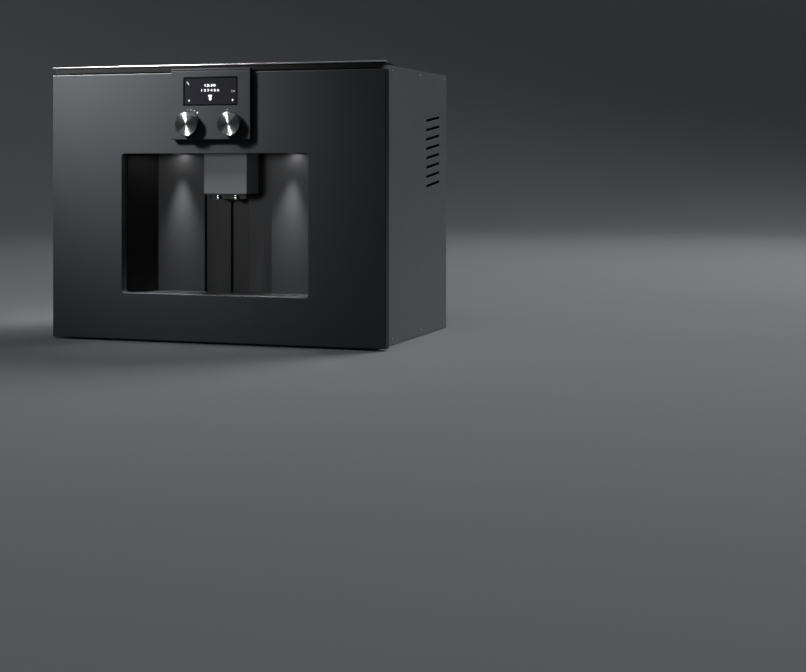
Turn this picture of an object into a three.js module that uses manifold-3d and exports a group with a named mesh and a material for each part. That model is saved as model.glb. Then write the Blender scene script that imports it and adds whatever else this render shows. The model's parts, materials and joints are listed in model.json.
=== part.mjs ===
// Built-in coffee machine: a sheet-metal casing that slides into a cabinet, behind a hinged
// front door with a cut-out. Through the cut-out shows the dispensing niche with its
// height-adjustable outlet. Behind the door are the drip tray, water tank, bean container,
// grinder and brew unit.
//
// Millimetres. +X to the viewer's right, +Y into the cabinet, +Z up.
// x = 0 is the middle, y = 0 the cabinet's front edge, z = 0 the cabinet floor.

import * as THREE from 'three';
import { mergeVertices } from 'three/addons/utils/BufferGeometryUtils.js';
import Module from 'manifold-3d';

const wasm = await Module();
wasm.setup();

// ---------------------------------------------------------------- driving dimensions
const GAP = 0.3;            // clearance between pieces that touch
const SHEET = 1.5;          // casing and door sheet
const WALL = 2.5;           // moulded walls
const BODY_W = 556;         // casing, for a cabinet opening of 560 mm
const BODY_H = 447.5;
const BODY_D = 352;
const EDGE_FOLD = 12;       // turned-down edges of the top sheet
const REAR_PROUD = 3;       // what the mains inlet stands behind the rear sheet
const FRONT_W = 590;        // door and trim width
const DOOR_Z = 3;           // door's lower edge
const DOOR_H = 436;
const DOOR_FRONT = -21;     // front plane of the door
const DOOR_BACK = -5;       // rear plane of the door
const CUT_HALF = 165;       // niche cut-out in the door
const CUT_Z0 = 79.5;
const CUT_Z1 = 307.5;
const CUT_R = 5;
const NICHE_BACK = 74;      // rear wall of the niche
const NICHE_BACK_HALF = 147.5;
const NICHE_FRONT = -3.5;
const NICHE_FRONT_HALF = 164;
const NICHE_FLOOR = 70.8;   // lower edge of the niche panels
const CENTRE_HALF = 61;     // recessed centre strip of the rear wall
const CENTRE_STEP = 7;
const CHANNEL_HALF = 16;    // vertical guide channel in the strip
const CHANNEL_DEPTH = 8;
const LAMP_X = 103;
const LAMP_Y = 58;
const LAMP_R = 7.4;
const MODULE_W = 140;       // control module on the door
const MODULE_Z0 = 330.2;
const MODULE_Z1 = 444.4;
const MODULE_FRONT = -31;
const MODULE_CAP = 3;       // top strip of the module, above a fine joint
const MODULE_JOINT = 0.5;
const NECK_HALF = 30;       // neck of the module, through the door skin
const NECK_Z0 = 343;
const NECK_Z1 = 425;
const DISPLAY_W = 96;
const DISPLAY_Z0 = 384.4;
const DISPLAY_Z1 = 431;
const KNOB_X = 37.3;
const KNOB_Z = 355;
const KNOB_R = 19.5;
const KNOB_FRONT = -44;
const KNOB_REAR = -32.4;    // leaves room for the right knob's press
const OUTLET_HALF = 39;     // dispensing head
const OUTLET_FRONT = 24;
const OUTLET_BACK = 72.5;
const OUTLET_Z0 = 241.8;
const OUTLET_Z1 = 394;
const SPOUT_X = 15.9;
const SPOUT_Y = 31;
const PARTITION_X = 168;    // walls between the middle and the side columns
const DRAWER_FRONT = -2.6;  // front of the tray, tank and bean container
const TRAY_HALF = 158;
const TRAY_BACK = 250;
const TRAY_TOP = 68;
const TANK_X0 = 178;        // water tank
const TANK_X1 = 268;
const TANK_BACK = 282;
const TANK_Z0 = 13.9;
const TANK_Z1 = 298;
const BEAN_X0 = 48;         // bean container
const BEAN_X1 = 163;
const BEAN_BACK = 205;
const BEAN_Z0 = 318.4;
const BEAN_Z1 = 428;
const GRINDER_X = 105;
const GRINDER_Y = 148;
const BREW_X = -222;        // axis of the brewing chamber
const BREW_Y = 92;
const HINGE_X = -288;
const HINGE_Y = -13;
const HINGES = [['lower', 20], ['upper', 414]];
const STRIP_Z0 = 449.6;     // bright trim strip above the door
const STRIP_H = 2.4;
const ARC = 2;              // half the segments on a quarter of a small corner

const INNER_HALF = BODY_W / 2 - SHEET - GAP;    // inside the side sheets
const PAN_TOP = SHEET + GAP;                    // where pieces rest over the base pan
const REAR_OUT = BODY_D - REAR_PROUD;           // outer and inner face of the rear sheet
const REAR_IN = REAR_OUT - SHEET;

// ---------------------------------------------------------------- finishes
const finish = (color, roughness, metalness, extra = {}) =>
  new THREE.MeshStandardMaterial({ color, roughness, metalness, ...extra });
const ANTHRACITE = finish(0x4a4b50, 0.42, 0.75);
const NICHE_GREY = finish(0x2b2c30, 0.5, 0.5);
const BLACK = finish(0x101113, 0.5, 0.05);
const ZINC = finish(0x9a9da1, 0.45, 0.85);
const STEEL = finish(0xc9cacc, 0.22, 1.0);
const GLASS = finish(0x0b0c0e, 0.06, 0.0);
const SMOKED = finish(0x6c7682, 0.1, 0.0, { transparent: true, opacity: 0.45 });
const GREY_PLASTIC = finish(0x5d6065, 0.55, 0.0);
const LAMP = finish(0xf4f1e8, 0.3, 0.0, { emissive: 0xf4f1e8 });
const BOARD = finish(0x24543b, 0.6, 0.0);
const COPPER = finish(0xa8794d, 0.35, 0.9);

// ---------------------------------------------------------------- geometry helpers
const IN_PLAN = new THREE.Matrix4();
const FROM_FRONT = new THREE.Matrix4().makeBasis(
  new THREE.Vector3(1, 0, 0), new THREE.Vector3(0, 0, 1), new THREE.Vector3(0, -1, 0));
const FROM_SIDE = new THREE.Matrix4().makeBasis(
  new THREE.Vector3(0, 1, 0), new THREE.Vector3(0, 0, 1), new THREE.Vector3(1, 0, 0));

/** An outline drawn in plan (x, y), from the front (x, z) or from the side (y, z), thickened. */
function slab(shape, plane, low, high) {
  const depth = high - low;
  const solid = new THREE.ExtrudeGeometry(shape, { depth, bevelEnabled: false, curveSegments: ARC });
  solid.applyMatrix4(plane);
  if (plane === IN_PLAN) return solid.translate(0, 0, low);
  return plane === FROM_FRONT ? solid.translate(0, high, 0) : solid.translate(low, 0, 0);
}

/** A closed outline through straight points. */
const outline = (...points) => new THREE.Shape(points.map(([u, v]) => new THREE.Vector2(u, v)));

/** A rectangle with round corners, between two opposite corners. */
function roundRect(u0, v0, u1, v1, r) {
  const s = new THREE.Shape();
  s.absarc(u1 - r, v0 + r, r, -Math.PI / 2, 0);
  s.absarc(u1 - r, v1 - r, r, 0, Math.PI / 2);
  s.absarc(u0 + r, v1 - r, r, Math.PI / 2, Math.PI);
  s.absarc(u0 + r, v0 + r, r, Math.PI, Math.PI * 1.5);
  s.closePath();
  return s;
}

/** The same outline as a hole in another shape. */
function holed(shape, ...holes) {
  for (const hole of holes) shape.holes.push(hole);
  return shape;
}

function box(x0, x1, y0, y1, z0, z1) {
  const g = new THREE.BoxGeometry(x1 - x0, y1 - y0, z1 - z0);
  return g.translate((x0 + x1) / 2, (y0 + y1) / 2, (z0 + z1) / 2);
}

/** A turned piece: radius and height pairs about a vertical axis at x, y. */
function turned(profile, x, y, segments = 24) {
  const g = new THREE.LatheGeometry(profile.map(([r, h]) => new THREE.Vector2(r, h)), segments);
  return g.rotateX(Math.PI / 2).translate(x, y, 0);
}

/** The same about an axis that points out of the front, at x, z. Heights run towards the viewer. */
function turnedFront(profile, x, z, segments = 40) {
  const g = new THREE.LatheGeometry(profile.map(([r, h]) => new THREE.Vector2(r, h)), segments);
  return g.rotateX(Math.PI).translate(x, 0, z);
}

function solid(geometry) {
  if (!(geometry instanceof THREE.BufferGeometry)) return geometry;
  const bare = geometry.clone();
  bare.deleteAttribute('normal');
  bare.deleteAttribute('uv');
  const merged = mergeVertices(bare, 1e-4);
  return new wasm.Manifold(new wasm.Mesh({
    numProp: 3,
    vertProperties: new Float32Array(merged.attributes.position.array),
    triVerts: new Uint32Array(merged.index.array),
  }));
}

const cut = (base, ...tools) => tools.reduce((a, b) => a.subtract(solid(b)), solid(base));
const join = (...pieces) => pieces.slice(1).reduce((a, b) => a.add(solid(b)), solid(pieces[0]));

function toGeometry(manifold) {
  const mesh = manifold.getMesh();
  const points = new Float32Array(mesh.numVert * 3);
  for (let i = 0; i < mesh.numVert; i += 1) {
    for (let k = 0; k < 3; k += 1) points[3 * i + k] = mesh.vertProperties[mesh.numProp * i + k];
  }
  const g = new THREE.BufferGeometry();
  g.setAttribute('position', new THREE.BufferAttribute(points, 3));
  g.setIndex(new THREE.BufferAttribute(new Uint32Array(mesh.triVerts), 1));
  g.computeVertexNormals();
  return g;
}

const machine = new THREE.Group();

function piece(name, shape, material) {
  const geometry = shape instanceof THREE.BufferGeometry ? shape : toGeometry(shape);
  const mesh = new THREE.Mesh(geometry, material);
  mesh.name = name;
  machine.add(mesh);
  return mesh;
}

const SIDES = [['left', -1], ['right', 1]];

/** Low and high x of a span that is mirrored to the left for side -1. */
const span = (side, a, b) => (side > 0 ? [a, b] : [-b, -a]);

/** An outline in plan, mirrored to the left for side -1. */
const mirrored = (side, ...points) => outline(...points.map(([x, y]) => [side * x, y]));

/** A slot with round ends along v, each end in three facets. */
function slot(u, v0, v1, r) {
  const end = (v, from) => [0, 1, 2, 3].map((i) => {
    const turn = from + (i * Math.PI) / 3;
    return [u + r * Math.cos(turn), v + r * Math.sin(turn)];
  });
  return outline(...end(v1 - r, 0), ...end(v0 + r, Math.PI));
}

/** A row of slots through a sheet, as cutters. */
const slotRow = (count, u0, pitch, v0, v1, r, plane, low, high) =>
  Array.from({ length: count }, (_, i) => slab(slot(u0 + i * pitch, v0, v1, r), plane, low, high));

// ---------------------------------------------------------------- casing
function basePan() {
  const upstand = 20;
  const w = INNER_HALF;
  const section = outline([-w, 0], [w, 0], [w, upstand], [w - SHEET, upstand], [w - SHEET, SHEET],
    [SHEET - w, SHEET], [SHEET - w, upstand], [-w, upstand]);
  const front = -4;
  piece('base_pan', slab(section, FROM_FRONT, front, REAR_IN - GAP), ZINC);
}

/** Side sheets with a bank of slanted louvre slots near the rear. */
function sidePanels() {
  const [count, y0, y1, z0, pitch, rise, height] = [8, 236, 310, 250, 16, 8, 5];
  const margin = 1;
  for (const [name, side] of SIDES) {
    const louvres = Array.from({ length: count }, (_, i) => {
      const z = z0 + i * pitch;
      return outline([y0, z], [y1, z + rise], [y1, z + rise + height], [y0, z + height]);
    });
    const sheet = roundRect(margin, 2 * GAP, BODY_D - margin, BODY_H, 1);
    const [x0, x1] = span(side, BODY_W / 2 - SHEET, BODY_W / 2);
    piece(`side_panel_${name}`, slab(holed(sheet, ...louvres), FROM_SIDE, x0, x1), ZINC);
  }
}

/** Top sheet, turned down at front and rear, with an exhaust grille. */
function topCover() {
  const [front, back, low] = [2, REAR_IN - GAP, BODY_H - EDGE_FOLD];
  const section = outline([front, BODY_H], [front, low], [front + SHEET, low],
    [front + SHEET, BODY_H - SHEET], [back - SHEET, BODY_H - SHEET], [back - SHEET, low],
    [back, low], [back, BODY_H]);
  const grille = slotRow(14, -130, 20, 250, 320, 3, IN_PLAN, BODY_H - 2 * SHEET, BODY_H + 1);
  piece('top_cover', cut(slab(section, FROM_SIDE, -INNER_HALF, INNER_HALF), ...grille), ZINC);
}

/** Rear sheet with two air grilles, and the mains inlet in its hole. */
function rearPanel() {
  const sheet = box(-INNER_HALF, INNER_HALF, REAR_IN, REAR_OUT, 2 * GAP, BODY_H - SHEET - 3 * GAP);
  const grille = (z0, z1) => slotRow(14, -91, 14, z0, z1, 3, FROM_FRONT, REAR_IN - 1, REAR_OUT + 1);
  const [x0, x1, z0, z1] = [-226, -198, 40, 64];
  const notch = box(x0 - GAP, x1 + GAP, REAR_IN - 1, REAR_OUT + 1, 0, z1 + GAP);
  piece('rear_panel', cut(sheet, ...grille(120, 190), ...grille(320, 390), notch), ZINC);

  // a shrouded socket with three flat pins, on a plate that closes the notch below it
  const socket = box(x0, x1, BODY_D - 30, BODY_D - 1, z0, z1);
  const flange = slab(roundRect(x0 - 11, 2, x1 + 11, z1 + 4, 3), FROM_FRONT, REAR_OUT + GAP, BODY_D);
  const floor = BODY_D - 18;
  const well = slab(outline([x0 + 3, z0 + 3], [x1 - 3, z0 + 3], [x1 - 3, z0 + 17], [x1 - 6, z0 + 21],
    [x0 + 6, z0 + 21], [x0 + 3, z0 + 17]), FROM_FRONT, floor, BODY_D + 1);
  const pins = [[8, 9], [14, 13], [20, 9]].map(([dx, dz]) =>
    box(x0 + dx - 1, x0 + dx + 1, floor - 0.5, BODY_D - 4, z0 + dz - 2, z0 + dz + 2));
  piece('mains_inlet', join(cut(join(socket, flange), well), ...pins), BLACK);
}

/** Flanges that lie on the cabinet's edges, and the bright strip above the door. */
function frontFrame() {
  const reach = 290;
  const inner = BODY_W / 2 + GAP;
  const [arm, face, lap] = [25, -1.8, 276.8];
  for (const [name, side] of SIDES) {
    const section = mirrored(side, [inner, 0], [inner, arm], [inner + SHEET, arm], [inner + SHEET, 0],
      [reach, 0], [reach, face], [lap, face], [lap, -GAP], [inner, -GAP]);
    piece(`front_frame_${name}`, slab(section, IN_PLAN, 4, 440), BLACK);
  }
  const [low, front, lip] = [BODY_H + GAP, -19, 441];
  piece('front_frame_top', slab(outline([front, lip], [front + SHEET, lip], [front + SHEET, low],
    [30, low], [30, low + SHEET], [front, low + SHEET]), FROM_SIDE, -reach, reach), BLACK);
  piece('trim_strip', slab(roundRect(DOOR_FRONT, STRIP_Z0, DOOR_BACK, STRIP_Z0 + STRIP_H, 1),
    FROM_SIDE, -FRONT_W / 2, FRONT_W / 2), STEEL);
}

/** Walls and cover plates that divide the inside. */
function dividers() {
  for (const [name, side] of SIDES) {
    const [x0, x1] = span(side, PARTITION_X, PARTITION_X + SHEET);
    piece(`partition_${name}`, box(x0, x1, GAP, 346, PAN_TOP, BODY_H - EDGE_FOLD - GAP), ZINC);
  }
  const cover = (name, x0, z0, x1, z1, ...holes) => piece(name,
    slab(holed(roundRect(x0, z0, x1, z1, 4), ...holes), FROM_FRONT, -WALL, 0), GREY_PLASTIC);
  cover('brew_unit_cover', -274, 14, -174, 304, slot(-184, 130, 180, 5));
  cover('fascia_left', -274, 312, 44, 438);
  cover('fascia_right', PARTITION_X + SHEET + GAP, 312, 274, 438);
  // floor of the middle bay, over the drip tray's rear part
  const half = PARTITION_X - GAP;
  piece('inner_floor', box(-half, half, 84.5, 345, TRAY_TOP + 0.9, TRAY_TOP + 0.9 + SHEET), ZINC);
}

// ---------------------------------------------------------------- dispensing niche
/** Half the niche's width at depth y, less a margin: it tapers towards the rear. */
const nicheHalf = (y, margin) => NICHE_FRONT_HALF - margin
  - (NICHE_FRONT_HALF - NICHE_BACK_HALF) * (y - NICHE_FRONT) / (NICHE_BACK - NICHE_FRONT);

function nicheWalls() {
  const [wall, flange] = [2, 9];
  const step = NICHE_BACK + CENTRE_STEP;
  for (const [name, side] of SIDES) {
    // tapered side wall with a front flange that reaches the partition
    piece(`niche_wall_${name}`, slab(mirrored(side, [NICHE_FRONT_HALF, NICHE_FRONT],
      [NICHE_FRONT_HALF + flange, NICHE_FRONT], [NICHE_FRONT_HALF + flange, NICHE_FRONT + wall],
      [NICHE_FRONT_HALF + wall, NICHE_FRONT + wall], [NICHE_BACK_HALF + wall, NICHE_BACK - GAP],
      [NICHE_BACK_HALF, NICHE_BACK - GAP]), IN_PLAN, NICHE_FLOOR, CUT_Z1), BLACK);
    // rear wall beside the centre strip, folded back at the step
    piece(`niche_back_${name}`, slab(mirrored(side, [PARTITION_X - GAP, NICHE_BACK],
      [CENTRE_HALF, NICHE_BACK], [CENTRE_HALF, step], [CENTRE_HALF + SHEET, step],
      [CENTRE_HALF + SHEET, NICHE_BACK + SHEET], [PARTITION_X - GAP, NICHE_BACK + SHEET]),
    IN_PLAN, NICHE_FLOOR, CUT_Z1), NICHE_GREY);
  }
}

/** Recessed centre strip with its guide channel, from below the floor to behind the bean shelf. */
function centreStrip() {
  const front = NICHE_BACK + CENTRE_STEP + GAP;
  const deep = front + CHANNEL_DEPTH;
  const c = CHANNEL_HALF;
  const strip = (wing, z0, z1) => slab(outline([-wing, front], [-c, front], [-c, deep], [c, deep],
    [c, front], [wing, front], [wing, front + SHEET], [c + SHEET, front + SHEET],
    [c + SHEET, deep + SHEET], [-c - SHEET, deep + SHEET], [-c - SHEET, front + SHEET],
    [-wing, front + SHEET]), IN_PLAN, z0, z1);
  const [wide, narrow, top] = [67, 42, 432];
  piece('niche_centre_panel', join(strip(wide, NICHE_FLOOR, CUT_Z1), strip(narrow, CUT_Z1, top)),
    NICHE_GREY);
}

/** Ceiling, notched for the dispensing head, with a lamp above each of its two round holes. */
function nicheCeiling() {
  const [low, thick] = [CUT_Z1 + GAP, 2.5];
  const half = (y) => nicheHalf(y, -3);
  const [notch, notchFront, back] = [OUTLET_HALF + 1, OUTLET_FRONT - 1, NICHE_BACK - GAP];
  const sheet = slab(outline([-half(NICHE_FRONT), NICHE_FRONT], [half(NICHE_FRONT), NICHE_FRONT],
    [half(NICHE_BACK), back], [notch, back], [notch, notchFront], [-notch, notchFront], [-notch, back],
    [-half(NICHE_BACK), back]), IN_PLAN, low, low + thick);
  const hole = (side) => turned([[0, low - 1], [LAMP_R + 0.4, low - 1], [LAMP_R + 0.4, low + thick + 1],
    [0, low + thick + 1]], side * LAMP_X, LAMP_Y, 20);
  piece('niche_ceiling', cut(sheet, ...SIDES.map(([, side]) => hole(side))), BLACK);
  for (const [name, side] of SIDES) {
    const lens = low + 0.5;
    piece(`lamp_${name}`, turned([[0, lens], [LAMP_R - 1, lens], [LAMP_R, lens + 0.7],
      [LAMP_R, lens + 7], [0, lens + 7]], side * LAMP_X, LAMP_Y, 20), LAMP);
  }
}

// ---------------------------------------------------------------- dispensing head
/** The head's housing: a tall shell open below, with rounded front edges, that rises behind the door. */
function outletHousing() {
  const shell = (inset, z0, z1) => {
    const s = new THREE.Shape();
    const [x, y0, y1, r] = [OUTLET_HALF - inset, OUTLET_FRONT + inset, OUTLET_BACK - inset, 2.5];
    s.moveTo(x, y1);
    s.lineTo(-x, y1);
    s.absarc(-x + r, y0 + r, r, Math.PI, Math.PI * 1.5);
    s.absarc(x - r, y0 + r, r, -Math.PI / 2, 0);
    s.closePath();
    return slab(s, IN_PLAN, z0, z1);
  };
  piece('outlet_housing', cut(shell(0, OUTLET_Z0, OUTLET_Z1), shell(WALL, OUTLET_Z0 - 1, OUTLET_Z1 - 3)),
    ANTHRACITE);
  // carriage behind it: a tongue in the guide channel, and a wider pad that keeps the head square
  const back = OUTLET_BACK + GAP;
  const tongue = box(-14, 14, back, 88, 262, 384);
  const pad = box(-30, 30, back, 79, 290, 360);
  piece('outlet_carriage', join(tongue, pad), BLACK);
}

/** The nozzle block closes the housing from below. It has the coffee funnel and seats for two spouts. */
function nozzles() {
  const [inner, rear] = [OUTLET_HALF - WALL - 0.8, OUTLET_BACK - 3];
  const funnelY = 51;
  const plate = slab(roundRect(-inner, OUTLET_FRONT + 3.3, inner, rear, 2), IN_PLAN, 239.5, 262);
  const lower = slab(roundRect(-34, SPOUT_Y + 5.5, 34, rear, 4), IN_PLAN, 233.5, 240);
  const funnel = turned([[0, 227], [3.8, 227], [13, 234], [13, 236], [0, 236]], 0, funnelY, 24);
  const bore = turned([[0, 225], [2.2, 225], [2.2, 300], [0, 300]], 0, funnelY, 12);
  const seat = (side) => turned([[0, 230], [3.3, 230], [3.3, 252], [0, 252]], side * SPOUT_X, SPOUT_Y, 20);
  piece('nozzle_block', cut(join(plate, lower, funnel), bore, ...SIDES.map(([, side]) => seat(side))), BLACK);
  // spouts: a swollen tip below, a thin tube in the seat above
  const [bored, tube, tip] = [1.7, 3.0, 3.8];
  for (const [name, side] of SIDES) {
    piece(`spout_${name}`, turned([[bored, 231.6], [tip - 0.6, 231.6], [tip, 232.8], [tip, 238],
      [tip - 0.5, 239.2], [tube, 239.2], [tube, 251], [bored, 251], [bored, 231.6]],
    side * SPOUT_X, SPOUT_Y, 20), STEEL);
  }
}

// ---------------------------------------------------------------- drip tray drawer
/** Tray with a finger grip in its front, and a rib between the drip bay and the grounds bay. */
function dripTray() {
  const floor = 5;
  const shell = slab(roundRect(-TRAY_HALF, DRAWER_FRONT, TRAY_HALF, TRAY_BACK, 6), IN_PLAN,
    PAN_TOP + 0.1, TRAY_TOP);
  const hollow = slab(roundRect(WALL - TRAY_HALF, DRAWER_FRONT + 3.6, TRAY_HALF - WALL, TRAY_BACK - WALL, 4),
    IN_PLAN, floor, TRAY_TOP + 2);
  const grip = slab(outline([-4, 20], [-0.5, 24], [-0.5, 38], [-4, 42]), FROM_SIDE, -45, 45);
  const rib = box(2 - TRAY_HALF, TRAY_HALF - 2, 78, 78 + WALL, 3, 40);
  piece('drip_tray', join(cut(shell, hollow, grip), rib), BLACK);

  // grounds container, which stands in the rear bay
  const bin = (inset, z0, z1) => slab(roundRect(inset - 95, 84 + inset, 95 - inset, 244 - inset, 10 - inset),
    IN_PLAN, z0, z1);
  piece('grounds_container', cut(bin(0, floor + 0.4, 64), bin(2, floor + 2.4, 66)), GREY_PLASTIC);
}

/** Slotted plate that follows the niche's taper, with a rim that drops onto the tray. */
function dripGrate() {
  const [back, top, rim] = [72, 76.8, 2];
  const plan = (inset, z0, z1) => {
    const [y0, y1] = [DRAWER_FRONT, back];
    const [a, b] = [nicheHalf(y0, 1.7) - inset, nicheHalf(y1, 1.7) - inset];
    return slab(outline([-a, y0 + inset], [a, y0 + inset], [b, y1 - inset], [-b, y1 - inset]),
      IN_PLAN, z0, z1);
  };
  const slots = slotRow(17, -112, 14, 8, 60, 2, IN_PLAN, 60, 80);
  piece('drip_grate', cut(plan(0, TRAY_TOP + GAP, top), plan(rim, TRAY_TOP - 2, top - 2), ...slots), STEEL);
}

// ---------------------------------------------------------------- water tank
function waterTank() {
  const r = 12;
  const shape = (grow, z0, z1) => slab(roundRect(TANK_X0 - grow, DRAWER_FRONT - grow, TANK_X1 + grow,
    TANK_BACK + grow, r + Math.min(grow, 0)), IN_PLAN, z0, z1);
  piece('water_tank', cut(shape(0, TANK_Z0, TANK_Z1), shape(-WALL, TANK_Z0 + 3.1, TANK_Z1 + 1)), SMOKED);
  // lid with its filler opening
  const lid = shape(0.5, TANK_Z1 + GAP, TANK_Z1 + 5);
  const filler = slab(roundRect(205, 12, 241, 40, 8), IN_PLAN, TANK_Z1 - 8, TANK_Z1 + 12);
  piece('tank_lid', cut(lid, filler), BLACK);
  // dock: a low trough that the tank slides over
  const [x0, x1, y0, y1, z0] = [172, 274, 2, 300, PAN_TOP + 0.1];
  const rim = 4;
  piece('tank_dock', cut(box(x0, x1, y0, y1, z0, TANK_Z0 - 0.5),
    box(x0 + rim, x1 - rim, y0 + rim, y1 - rim, 11, 20)), BLACK);
}

// ---------------------------------------------------------------- beans and grinder
/** Bean container: its floor slopes to an outlet over the grinder. */
function beanContainer() {
  const throat = (r, z0, z1) => turned([[0, z0], [r, z0], [r, z1], [0, z1]], GRINDER_X, GRINDER_Y, 24);
  const [under, shelf] = [316, 318];
  const sheet = box(BEAN_X0 - 2, PARTITION_X - GAP, 4, 300, under, shelf);
  piece('bean_shelf', cut(sheet, throat(24, 310, 320)), ZINC);
  const plan = roundRect(BEAN_X0, DRAWER_FRONT, BEAN_X1, BEAN_BACK, 8);
  const outlet = BEAN_Z0 + 4.1;
  const hopper = slab(outline([0, 352], [GRINDER_Y - 22, outlet], [GRINDER_Y + 22, outlet],
    [BEAN_BACK - WALL, 346], [BEAN_BACK - WALL, BEAN_Z1 + 12], [0, BEAN_Z1 + 12]),
  FROM_SIDE, BEAN_X0 + WALL, BEAN_X1 - WALL);
  piece('bean_container', cut(slab(plan, IN_PLAN, BEAN_Z0, BEAN_Z1), hopper, throat(20, 310, 330)), SMOKED);
  // lid with a shallow finger recess
  const lid = slab(plan, IN_PLAN, BEAN_Z1 + GAP, BEAN_Z1 + 4);
  const recess = slab(roundRect(BEAN_X0 + 35, 20, BEAN_X1 - 35, 40, 6), IN_PLAN, BEAN_Z1 + 2, BEAN_Z1 + 6);
  piece('bean_lid', cut(lid, recess), BLACK);
}

/** Grinder: a bowl, a fluted cone burr on the motor's shaft, and the motor below. */
function grinder() {
  const about = (profile, segments) => turned(profile, GRINDER_X, GRINDER_Y, segments);
  piece('grinder_housing', about([[9, 222], [44, 222], [46, 226], [46, 306], [30, 315.5], [27, 315.5],
    [27, 306], [38, 298], [38, 232], [9, 232], [9, 222]], 28), BLACK);
  const teeth = 12;
  const cone = about([[0, 236], [24, 236], [24, 241], [10, 282], [0, 286]], teeth * 2);
  const [across, along] = [0.25, 0.36];     // how far a flute leans across and along the cone
  const flutes = Array.from({ length: teeth }, (_, i) => {
    const flute = new THREE.CylinderGeometry(1.2, 2.8, 60, 6);
    flute.rotateX(Math.PI / 2).rotateY(along).rotateX(across).translate(20.5, 0, 262);
    return flute.rotateZ((i / teeth) * Math.PI * 2).translate(GRINDER_X, GRINDER_Y, 0);
  });
  const shaft = about([[0, 205], [7, 205], [7, 237], [0, 237]], 20);
  piece('grinder_burr', join(cut(cone, ...flutes), shaft), STEEL);
  piece('grinder_motor', about([[0, 96], [36, 96], [40, 100], [40, 196], [30, 204], [30, 221.7],
    [9, 221.7], [9, 204.6], [0, 204.6]], 28), ZINC);
}

// ---------------------------------------------------------------- brewing parts
/** Brew unit: a frame on two legs, its brewing chamber open at the top, and the piston above. */
function brewUnit() {
  const about = (profile, segments) => turned(profile, BREW_X, BREW_Y, segments);
  const half = 44;
  const [x0, x1] = [BREW_X - half, BREW_X + half];
  const [y0, y1, shelf, top] = [30, 154, 60, 286];
  const frame = join(box(x0, x1, y0, y1, shelf, shelf + 10), box(x0, x1, 140, y1, shelf + 9, top),
    box(x0, x1, 44, 141, top - 10, top), box(x0, x0 + 8, y0, y1, PAN_TOP, shelf + 1),
    box(x1 - 8, x1, y0, y1, PAN_TOP, shelf + 1));
  const guide = about([[0, 270], [13, 270], [13, 290], [0, 290]], 24);
  piece('brew_frame', cut(frame, guide), GREY_PLASTIC);
  piece('brew_chamber', about([[0, 70.4], [34, 70.4], [34, 160], [27, 160], [27, 84], [0, 84]], 28), BLACK);
  piece('brew_piston', about([[0, 176], [24, 176], [26.4, 178], [26.4, 190], [24, 192], [12, 196],
    [12, 300], [0, 300]], 28), STEEL);
}

/** Vibration pump on its block, boiler with heating coils round it, and the power board on posts. */
function works() {
  const floor = TRAY_TOP + 0.9 + SHEET + GAP;
  const pump = turned([[0, 0], [9, 0], [9, 14], [24, 14], [24, 70], [15, 74], [15, 100], [5, 100],
    [5, 116], [0, 116]], 0, 0, 24).rotateX(-Math.PI / 2).translate(-40, 230, 120);
  piece('pump', join(pump, box(-60, -20, 250, 290, floor + 0.1, 100)), ZINC);
  const [coilCount, pitch, z0] = [5, 30, 88];
  const coils = Array.from({ length: coilCount }, (_, i) => slab(
    roundRect(-140, z0 + i * pitch, -90, z0 + 14 + i * pitch, 6.9), FROM_FRONT, 120, 230));
  piece('boiler', join(box(-136, -94, 122, 228, floor + 0.1, 236), ...coils), COPPER);
  const wall = -PARTITION_X - SHEET - GAP;
  const posts = [200, 290].flatMap((y) => [120, 280].map((z) => box(-176, wall, y - 4, y + 4, z - 4, z + 4)));
  piece('power_board', join(box(-178, -175.5, 190, 300, 110, 290), ...posts), BOARD);
}

// ---------------------------------------------------------------- door
const hingeNotch = (z) => box(-FRONT_W / 2 - 1, -262, -17, 0, z - 4, z + 14);

/** Folded pan: front skin, edges turned back, and a lip turned back around the cut-out. */
function doorPanel() {
  const w = FRONT_W / 2;
  const z1 = DOOR_Z + DOOR_H;
  const lip = CUT_HALF + SHEET;
  const skin = slab(roundRect(-w, DOOR_Z, w, z1, 1.2), FROM_FRONT, DOOR_FRONT, DOOR_BACK);
  const inside = slab(roundRect(SHEET - w, DOOR_Z + SHEET, w - SHEET, z1 - SHEET, 0.5),
    FROM_FRONT, DOOR_FRONT + SHEET, 0);
  const collar = slab(roundRect(-lip, CUT_Z0 - SHEET, lip, CUT_Z1 + SHEET, CUT_R + SHEET),
    FROM_FRONT, DOOR_FRONT + 0.5, DOOR_BACK);
  const opening = slab(roundRect(-CUT_HALF, CUT_Z0, CUT_HALF, CUT_Z1, CUT_R), FROM_FRONT, -30, 0);
  const neck = box(-NECK_HALF - 1, NECK_HALF + 1, -25, -15, NECK_Z0 - 1, NECK_Z1 + 1);
  piece('door_panel', cut(join(cut(skin, inside), collar), opening, neck,
    ...HINGES.map(([, z]) => hingeNotch(z))), ANTHRACITE);
}

/** Inner liner: a moulded plate with recessed fields and the same cut-out. */
function doorLiner() {
  const edge = FRONT_W / 2 - SHEET - 0.5;
  const lip = CUT_HALF + SHEET + 0.5;
  const plate = slab(roundRect(-edge, DOOR_Z + 2, edge, DOOR_Z + DOOR_H - 2, 2), FROM_FRONT, -9,
    DOOR_BACK - 0.2);
  const field = (x0, z0, x1, z1) => slab(roundRect(x0, z0, x1, z1, 6), FROM_FRONT, -7, 0);
  const sideFields = [[20, 150], [160, 300]].flatMap(([z0, z1]) =>
    [field(-270, z0, -182, z1), field(182, z0, 270, z1)]);
  const clear = slab(roundRect(-lip, CUT_Z0 - SHEET - 0.5, lip, CUT_Z1 + SHEET + 0.5, CUT_R + SHEET),
    FROM_FRONT, -30, 0);
  piece('door_liner', cut(plate, clear, field(-165, 20, 165, 64), ...sideFields,
    ...HINGES.map(([, z]) => hingeNotch(z))), BLACK);
}

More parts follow.
